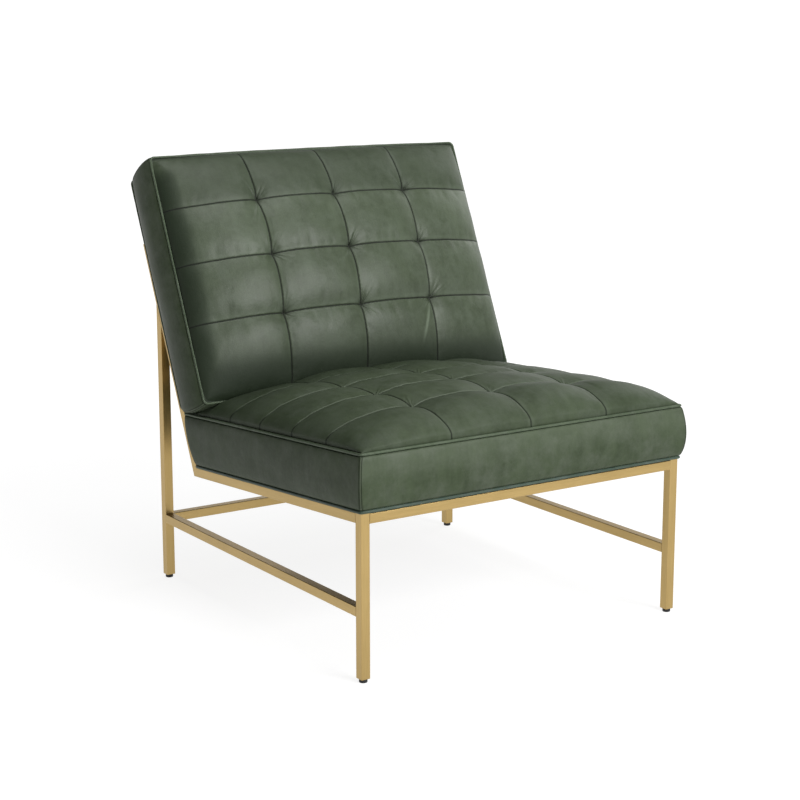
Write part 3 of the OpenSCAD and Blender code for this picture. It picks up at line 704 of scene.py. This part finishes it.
def boxed_outline(half, low, high, radius, along=(130, 100, 130, 100), arc=15):
    """A rounded outline: its points, their outward directions, and how far from a corner."""
    corners = [(half - radius, high - radius, 0), (radius - half, high - radius, 90),
               (radius - half, low + radius, 180), (half - radius, low + radius, 270)]
    points, share, corner = [], [], []
    for k, (cx, cv, start) in enumerate(corners):
        for a in np.linspace(0, 90, arc):
            turn = radians(start + a)
            out_x, out_v = cos(turn), sin(turn)
            points.append((cx + radius * out_x, cv + radius * out_v))
            share.append((out_x, out_v))
            corner.append(abs(a - 45) / 90)
        nx, nv, _ = corners[(k + 1) % 4]
        for t in np.arange(1, along[k]) / along[k]:
            t = t - 0.6 * sin(2 * pi * t) / (2 * pi)
            points.append((cx + (nx - cx) * t + radius * out_x,
                           cv + (nv - cv) * t + radius * out_v))
            share.append((out_x, out_v))
            corner.append(0.5 + min(t, 1 - t) * 20)
    return np.array(points), np.array(share), np.array(corner)


def boxing_band(name, half, thick, ends, drafts, turn, kept, swell, shares, place, seed, material):
    """The swelling band between two welts, with its corner seams and puckers, round a straight
    inside: kept is the share of the swell at the upper corners, shares those of the ends."""
    low, high, levels, wall, edge_swell = 0.0068, thick - 0.0032, 34, 0.0048, 0.0010
    stitches, seam_at, seam_dip = 0.011, 0.0024, 0.0009
    rings, groove, painted_highlight = [], [], []

    def swollen(out):
        return boxed_outline(half + out, ends[0] + drafts[0] * h - shares[0] * out,
                             ends[1] + drafts[1] * h + shares[1] * out, turn + 0.12 * s)

    for u in np.linspace(0, 1, levels):
        u = u - 0.55 * sin(2 * pi * u) / (2 * pi)
        h = low + (high - low) * u
        s = (swell - edge_swell) * sin(pi * u) ** 0.56 + edge_swell
        full, share, corner = swollen(s)
        held = swollen(kept * s)[0]
        seam = np.minimum(corner, 0.5) * (turn + 0.12 * s) * pi / 2
        seam += np.maximum(corner - 0.5, 0) * 0.034
        upper_half = full[:, 1] >= (ends[0] + ends[1]) / 2
        free = (1 - upper_half * np.exp(-seam / 0.045))[:, None]
        base = held * (1 - free) + full * free
        step = np.linalg.norm(np.roll(base, -1, 0) - base, axis=1)
        far = np.concatenate([[0], np.cumsum(step)[:-1]]) / step.sum() * 2.6
        hold = np.clip(sin(pi * u) * 2.2, 0, 1)
        near_top, near_low = exp(-(high - h) / 0.009), exp(-(h - low) / 0.009)
        at_h = 0 * far + h
        ripple = 0.0013 * lattice(far, at_h, 0.11, 0.045, seed) * hold
        ripple += 0.0004 * lattice(far, at_h, 0.030, 0.030, seed + 1) * hold
        gathered = lattice(far, at_h * 0, 0.12, 1, seed + 4) > -0.1
        upper = near_top * lattice(far, at_h * 0, stitches, 1, seed + 2) * gathered
        lower = near_low * lattice(far, at_h * 0, stitches + 0.002, 1, seed + 3) * 0.7
        ripple += 0.00075 * (upper + lower) * min(1, 6 * min(u, 1 - u) + 0.2)
        sunk = bell(seam - seam_at, seam_dip)
        ripple += 0.0004 * bell(seam, 0.0012) - 0.0008 * sunk
        rings.append(np.column_stack([base + share * ripple[:, None], at_h]))
        # painted shade: dark in the sunk corner seams and a little on the side facing left; painted
        # highlight on the corner seams, on the side facing back along v (the seat's rear, the
        # back's top) and on the upper part of the side facing forward
        to_left, to_rear = -share[:, 0], share[:, 1]
        groove.append(np.maximum(0.8 * sunk, 0.08 * (to_left > 0.7)))
        painted_face_highlight = 0.35 * (to_rear > 0.7) + 0.18 * (to_rear < -0.7) * np.clip((u - 0.45) / 0.3, 0, 1)
        painted_highlight.append(np.maximum(0.25 * bell(seam, 0.0011), painted_face_highlight))
    count = len(rings[0])
    for h in (high - 0.0026, low + 0.0002):
        inner = boxed_outline(half - wall, ends[0] + drafts[0] * h + wall,
                              ends[1] + drafts[1] * h - wall, 0.0008)[0]
        rings.append(np.column_stack([inner, np.full(len(inner), h)]))
        # painted shade on the band's inside wall
        groove.append(np.full(count, 0.6))
        painted_highlight.append(np.zeros(count))
    rings.append(rings[0])
    faces = grid_faces(len(rings), count, True)
    last = (len(rings) - 1) * count
    faces = np.where(faces >= last, faces - last, faces)
    made = solid_piece(name, place(np.concatenate(rings[:-1])), faces, material)
    mark(made, groove=np.concatenate(groove), painted_highlight=np.concatenate(painted_highlight))
    return made


seat_side, seat_ends, seat_drafts = 0.3562, (-0.0025, 0.58950), (-0.0717, 0.36991)
# the boxing's hide: deep and light dye about a tenth darker than the top's, as painted shade on the
# sides
shaded_greens = (0.028, 0.040, 0.020, 1), (0.050, 0.068, 0.037, 1), (0.076, 0.090, 0.066, 1)
seat_side_hide = leather("seat_side_leather", seat_turn, shaded_greens, 0.42, 0.8, 0.12)
seat_band = boxing_band("seat_band", seat_side, seat_thick, seat_ends, seat_drafts, turn=0.0040,
                        kept=1.0, swell=0.0090, shares=(1.1, 0.0), place=seat_place, seed=51,
                        material=seat_side_hide)
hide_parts("seat_boxing")
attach(seat_band, "chair")

# Welts of the seat
# A cord in a bias strip of hide, sewn in round the top piece and round the foot of the boxing.
# One tree of nodes sweeps them; the strip gathers in small puckers.


def begin_tree(name, inputs):
    """A geometry tree with named inputs: its wire, its ports, and what each port is given."""
    tree = bpy.data.node_groups.new(name, "GeometryNodeTree")
    ports = {}
    for label, kind, value in [("Geometry", "Geometry", None), *inputs]:
        made = tree.interface.new_socket(label, in_out="INPUT", socket_type="NodeSocket" + kind)
        if value is not None:
            made.default_value = value
        ports[label] = made.identifier
    tree.interface.new_socket("Geometry", in_out="OUTPUT", socket_type="NodeSocketGeometry")
    entry = tree.nodes.new("NodeGroupInput")
    return Wire(tree), ports, {socket.name: Wire(tree, socket) for socket in entry.outputs}


def end_tree(w, shape, material):
    shape = w.node("GeometryNodeRealizeInstances", {}, {"Geometry": shape})
    shape = w.node("GeometryNodeSetMaterial", {}, {"Geometry": shape, "Material": material})
    w.tree.links.new(shape.socket, w.tree.nodes.new("NodeGroupOutput").inputs[0])
    return w.tree


def welt_nodes():
    """The tree that makes a welt from its line, with puckers along the cord."""
    w, ports, given = begin_tree("welt", [
        ("Cord radius", "Float", 0.003), ("Pucker height", "Float", 0.0003),
        ("Pucker scale", "Float", 60.0), ("Step", "Float", 0.002), ("Leather", "Material", None)])
    line = w.node("GeometryNodeMeshToCurve", {}, {"Mesh": given["Geometry"]})
    line = w.node("GeometryNodeResampleCurve", {"mode": "LENGTH"},
                  {"Curve": line, "Length": given["Step"]})
    ring = w.node("GeometryNodeCurvePrimitiveCircle", {},
                  {"Resolution": 16, "Radius": given["Cord radius"]})
    skin = w.node("GeometryNodeCurveToMesh", {}, {"Curve": line, "Profile Curve": ring})
    gather = w.noise(w.node("GeometryNodeInputPosition"), given["Pucker scale"], 3.0, 0.6) - 0.5
    rise = gather * given["Pucker height"] * 2.0
    push = w.node("ShaderNodeVectorMath", {"operation": "SCALE"},
                  {0: w.node("GeometryNodeInputNormal"), "Scale": rise})
    skin = w.node("GeometryNodeSetPosition", {}, {"Geometry": skin, "Offset": push})
    skin = w.node("GeometryNodeSetShadeSmooth", {}, {0: skin})
    return end_tree(w, skin, given["Leather"]), ports


def grown(name, tree, ports, points, edges, **values):
    """Runs a tree on a line of points and keeps the result as a plain mesh at the origin."""
    seed_mesh = bpy.data.meshes.new(name + "_line")
    seed_mesh.from_pydata([tuple(map(float, p)) for p in points], edges, [])
    line = placed(name + "_line", seed_mesh)
    modifier = line.modifiers.new("nodes", "NODES")
    modifier.node_group = tree
    for label, value in values.items():
        modifier[ports[label.replace("_", " ")]] = value
    ready = line.evaluated_get(bpy.context.evaluated_depsgraph_get())
    mesh = bpy.data.meshes.new_from_object(ready)
    mesh.name = name
    bpy.data.objects.remove(line)
    return placed(name, mesh)


welt_tree, welt_ports = welt_nodes()


def welt(name, node, half, h, ends, drafts, turn, radius, place, material):
    """A welt round the cushion's outline at height h, in place of its CAD node."""
    outline = boxed_outline(half, ends[0] + drafts[0] * h, ends[1] + drafts[1] * h, turn,
                            (180, 150, 180, 150), 13)[0]
    points = place(np.column_stack([outline, np.full(len(outline), h)]))
    edges = [(k, (k + 1) % len(points)) for k in range(len(points))]
    made = grown(name, welt_tree, welt_ports, points, edges, Cord_radius=radius,
                 Pucker_height=0.00035, Pucker_scale=55.0, Step=0.0022, Leather=material)
    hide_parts(node)
    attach(made, "chair")
    return made


foot_greens = (0.026, 0.045, 0.031, 1), (0.047, 0.074, 0.054, 1), (0.086, 0.110, 0.094, 1)
foot_hide = leather("foot_welt_leather", (0, 0, 0), foot_greens, 0.42, 0.4)
welt_greens = (0.036, 0.052, 0.028, 1), (0.062, 0.086, 0.050, 1), (0.092, 0.112, 0.080, 1)
welt_hide = leather("welt_leather", (0, 0, 0), welt_greens, 0.42, 0.4)
welt_foot, seat_welt_turn = 0.0033, 0.0032
welt("seat_top_piping", "seat_top_welt", seat_side, 0.1028, seat_ends, seat_drafts,
     seat_welt_turn, 0.0026, seat_place, welt_hide)
welt("seat_foot_piping", "seat_bottom_welt", seat_side, welt_foot, seat_ends, seat_drafts,
     seat_welt_turn, 0.0030, seat_place, foot_hide)

# Boxing and welts of the back
# Made as the seat's; its lower end leans in over the seat, and its rear welt lies against the
# posts.
back_ends, back_drafts = (0.12922, 0.60122), (-0.13, 0.13)
# the back's boxing, outside panel and rear welt take the same darkened hide, as painted shade
back_side_hide = leather("back_side_leather", back_turn, shaded_greens, 0.42, 0.8, 0.12)
back_band = boxing_band("back_band", half_width, back_thick, back_ends, back_drafts, turn=0.0085,
                        kept=0.45, swell=0.0112, shares=(0.85, 1.55), place=back_place, seed=71,
                        material=back_side_hide)
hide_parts("back_boxing")
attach(back_band, "chair")
back_welt_turn = 0.0090
welt("back_front_piping", "back_front_welt", half_width, 0.0999, back_ends, back_drafts,
     back_welt_turn, 0.0021, back_place, welt_hide)
welt("back_rear_piping", "back_rear_welt", half_width, welt_foot, back_ends, back_drafts,
     back_welt_turn, 0.0030, back_place, back_side_hide)

# Outside back and underside
# The outside of the back is one flat piece of hide, blind-stitched inside the rear welt; the
# seat's underside is closed with black woven cloth, its hem folded under and stapled.


def sheet_piece(name, xs, vs, rear, screw_rows, place, material):
    """A closed sheet on a grid, flat inside and shaped by rear outside, open round each screw."""
    x, v = np.meshgrid(xs, vs)
    rows, count = x.shape
    sides = [np.stack([x, v, skin], -1).reshape(-1, 3) for skin in (x * 0 + 0.0009, rear(x, v))]
    cell_x, cell_v = (x[:-1, :-1] + x[1:, 1:]) / 2, (v[:-1, :-1] + v[1:, 1:]) / 2
    solid = np.ones(cell_x.shape, bool)
    for sv in screw_rows:
        solid &= np.hypot(np.abs(cell_x) - screw_x, cell_v - sv) > 0.0055
    faces, n = [], rows * count
    for j, i in zip(*np.nonzero(solid)):
        a = j * count + i
        b, c, d = a + 1, a + count + 1, a + count
        faces += [(a, b, c, d), (n + d, n + c, n + b, n + a)]
        for dj, di, p, q in ((-1, 0, a, b), (0, 1, b, c), (1, 0, c, d), (0, -1, d, a)):
            nj, ni = j + dj, i + di
            if not (0 <= nj < rows - 1 and 0 <= ni < count - 1 and solid[nj, ni]):
                faces.append((q, p, n + p, n + q))
    used = np.unique(faces)
    faces = np.searchsorted(used, faces)
    return solid_piece(name, place(np.concatenate(sides)[used]), faces, material)


screw_x, sheet_edge = 0.323, 0.0026
back_screw_s, seat_screw_v = (0.17422, 0.412), (0.108, 0.3015, 0.49655)
outside_xs = np.linspace(-0.3575, 0.3575, 144)
outside_vs = np.linspace(back_ends[0] + sheet_edge, back_ends[1] - sheet_edge, 95)


def outside_skin(x, s):
    full = bow(x / 0.303, 2.4) * bow((s - 0.292) / 0.157, 2.4)
    waves = 0.0007 * lattice(x, s, 0.06, 0.13, 91) + 0.0003 * lattice(x, s, 0.02, 0.05, 92)
    return 0.0001 - full * (0.0040 + waves)


outside = sheet_piece("back_outside_panel", outside_xs, outside_vs, outside_skin, back_screw_s,
                      back_place, back_side_hide)
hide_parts("back_outside_cover")
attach(outside, "chair")


def black_weave(w):
    """Plain-woven black polypropylene cloth, 0.9 mm to a thread."""
    flat = w.place(seat_turn)
    weave = w.bands(flat, "X", 175.0, 0.6) * w.bands(flat, "Y", 175.0, 0.6)
    lint = w.noise(w.place(), 900.0, 4.0, 0.7)
    thread = weave * 0.7 + lint * 0.3
    return {
        "Base Color": thread.tint((0.006, 0.006, 0.007, 1), (0.030, 0.030, 0.032, 1)),
        "Roughness": lint * 0.15 + 0.75,
        "Normal": w.bump(weave, 0.00025),
    }


cloth_black = finish_material("black_cloth", black_weave)
under_xs = np.linspace(-0.3525, 0.3525, 142)
under_vs = np.linspace(seat_ends[0] + sheet_edge, seat_ends[1] - sheet_edge, 119)


def under_skin(x, v):
    full = bow(x / 0.303, 2.2) * bow((v - 0.295) / 0.268, 2.2)
    hem = bell(np.maximum(np.abs(x) / 0.3185, np.abs(v - 0.290) / 0.257) - 1.0, 0.004)
    waves = 0.0010 * lattice(x, v, 0.07, 0.07, 95) + 0.0004 * lattice(x, v, 0.02, 0.02, 96)
    return 0.0001 - full * (0.0065 + waves) + 0.0003 * hem


underside = sheet_piece("seat_underside_cloth", under_xs, under_vs, under_skin, seat_screw_v,
                        seat_place, cloth_black)
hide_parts("seat_dust_cover")
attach(underside, "chair")

# Staples of the underside
# Wire staples with a crown of 11 mm, driven through the cloth's hem into the plywood, all round
# and clear of the screws. One tree of nodes bends the wire and sets a staple at each point.


def staple_nodes():
    """The tree that sets a staple, bent from flat wire, at every point of a mesh."""
    w, ports, given = begin_tree("staples", [
        ("Crown length", "Float", 0.011), ("Leg length", "Float", 0.006),
        ("Wire width", "Float", 0.0012), ("Wire thickness", "Float", 0.0006),
        ("Bend radius", "Float", 0.0008), ("Turn", "Vector", (0, 0, 0)),
        ("Steel", "Material", None)])
    index = w.node("GeometryNodeInputIndex")
    across_crown = (w.maths("GREATER_THAN", index, 1.5) - 0.5) * given["Crown length"]
    in_leg = w.maths("GREATER_THAN", w.maths("ABSOLUTE", index - 1.5), 1.0) * given["Leg length"]
    bend = w.node("ShaderNodeCombineXYZ", {}, {0: across_crown, 2: in_leg})
    wire = w.node("GeometryNodeMeshLine", {}, {"Count": 4})
    wire = w.node("GeometryNodeSetPosition", {}, {"Geometry": wire, "Position": bend})
    wire = w.node("GeometryNodeMeshToCurve", {}, {"Mesh": wire})
    wire = w.node("GeometryNodeFilletCurve", {"mode": "POLY"},
                  {"Curve": wire, "Radius": given["Bend radius"], "Count": 3})
    section = w.node("GeometryNodeCurvePrimitiveQuadrilateral", {},
                     {"Width": given["Wire thickness"], "Height": given["Wire width"]})
    wire = w.node("GeometryNodeCurveToMesh", {},
                  {"Curve": wire, "Profile Curve": section, "Fill Caps": True})
    turn = w.node("FunctionNodeEulerToRotation", {}, {0: given["Turn"]})
    staples = w.node("GeometryNodeInstanceOnPoints", {},
                     {"Points": given["Geometry"], "Instance": wire, "Rotation": turn})
    return end_tree(w, staples, given["Steel"]), ports


staple_tree, staple_ports = staple_nodes()
hem_v = [v for v in np.arange(0.050, 0.545, 0.0375)
         if min(abs(v - screw) for screw in seat_screw_v) > 0.026]
hem_x = np.arange(-0.300, 0.301, 0.040)
hem_sides = [(x, v) for x in (-0.3262, 0.3262) for v in hem_v]
hem_ends = [(x, v) for v in (0.0262, 0.5530) for x in hem_x]
for name, places, turn in (("staples_of_the_sides", hem_sides, (0, seat_slope, pi / 2)),
                           ("staples_of_the_ends", hem_ends, (-seat_slope, 0, 0))):
    points = seat_place(np.array([(x, v, -0.0005) for x, v in places]))
    staples = grown(name, staple_tree, staple_ports, points, [], Turn=turn, Steel=zinc)
    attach(staples, "chair")

# Inside of the cushions
# Birch plywood boards carry open-cell foam blocks; waxed twine draws the tufts down to
# washers under the boards, and machine screws hold the boards to the frame by tee nuts.


def birch(name, turn):
    """Sanded birch plywood: long grain on its faces, eleven plies on its edges."""
    def build(w):
        grain = w.noise(w.place(turn, (1, 0.06, 1)), 120.0, 5.0, 0.6)
        flecks = w.noise(w.place(turn, (1, 0.2, 1)), 900.0, 3.0, 0.6)
        plies = w.bands(w.place(turn), "Z", 115.0, 0.3)
        tone = (grain * 0.6 + flecks * 0.25 + plies * 0.15).between(0.3, 0.7)
        return {
            "Base Color": tone.tint((0.42, 0.27, 0.14, 1), (0.72, 0.56, 0.37, 1)),
            "Roughness": flecks * 0.15 + 0.55,
            "Normal": w.bump(grain, 0.00012),
        }
    return finish_material(name, build)


def open_foam(w):
    cells = w.node("ShaderNodeTexVoronoi", {}, {"Vector": w.place(), "Scale": 900.0})
    aged = (w.noise(w.place(), 14.0, 3.0, 0.5) * 0.7 + cells * 0.5).between(0.3, 0.9)
    return {
        "Base Color": aged.tint((0.62, 0.55, 0.36, 1), (0.80, 0.76, 0.62, 1)),
        "Roughness": cells * 0.1 + 0.85,
        "Normal": w.bump(cells, 0.0006),
    }


def waxed_twine(w):
    strands = w.bands(w.place(), "DIAGONAL", 320.0, 1.0)
    return {
        "Base Color": strands.tint((0.36, 0.29, 0.17, 1), (0.62, 0.54, 0.38, 1)),
        "Roughness": strands * 0.15 + 0.6,
        "Normal": w.bump(strands, 0.0004),
    }


dress(["seat_deck"], birch("birch_seat", seat_turn))
dress(["back_panel"], birch("birch_back", back_turn))
dress(["seat_foam", "back_foam"], finish_material("open_cell_foam", open_foam))
dress(["seat_tuft_ties", "back_tuft_ties"], finish_material("waxed_twine", waxed_twine))
dress(["seat_screws", "back_screws", "seat_tee_nuts", "back_tee_nuts"], zinc)
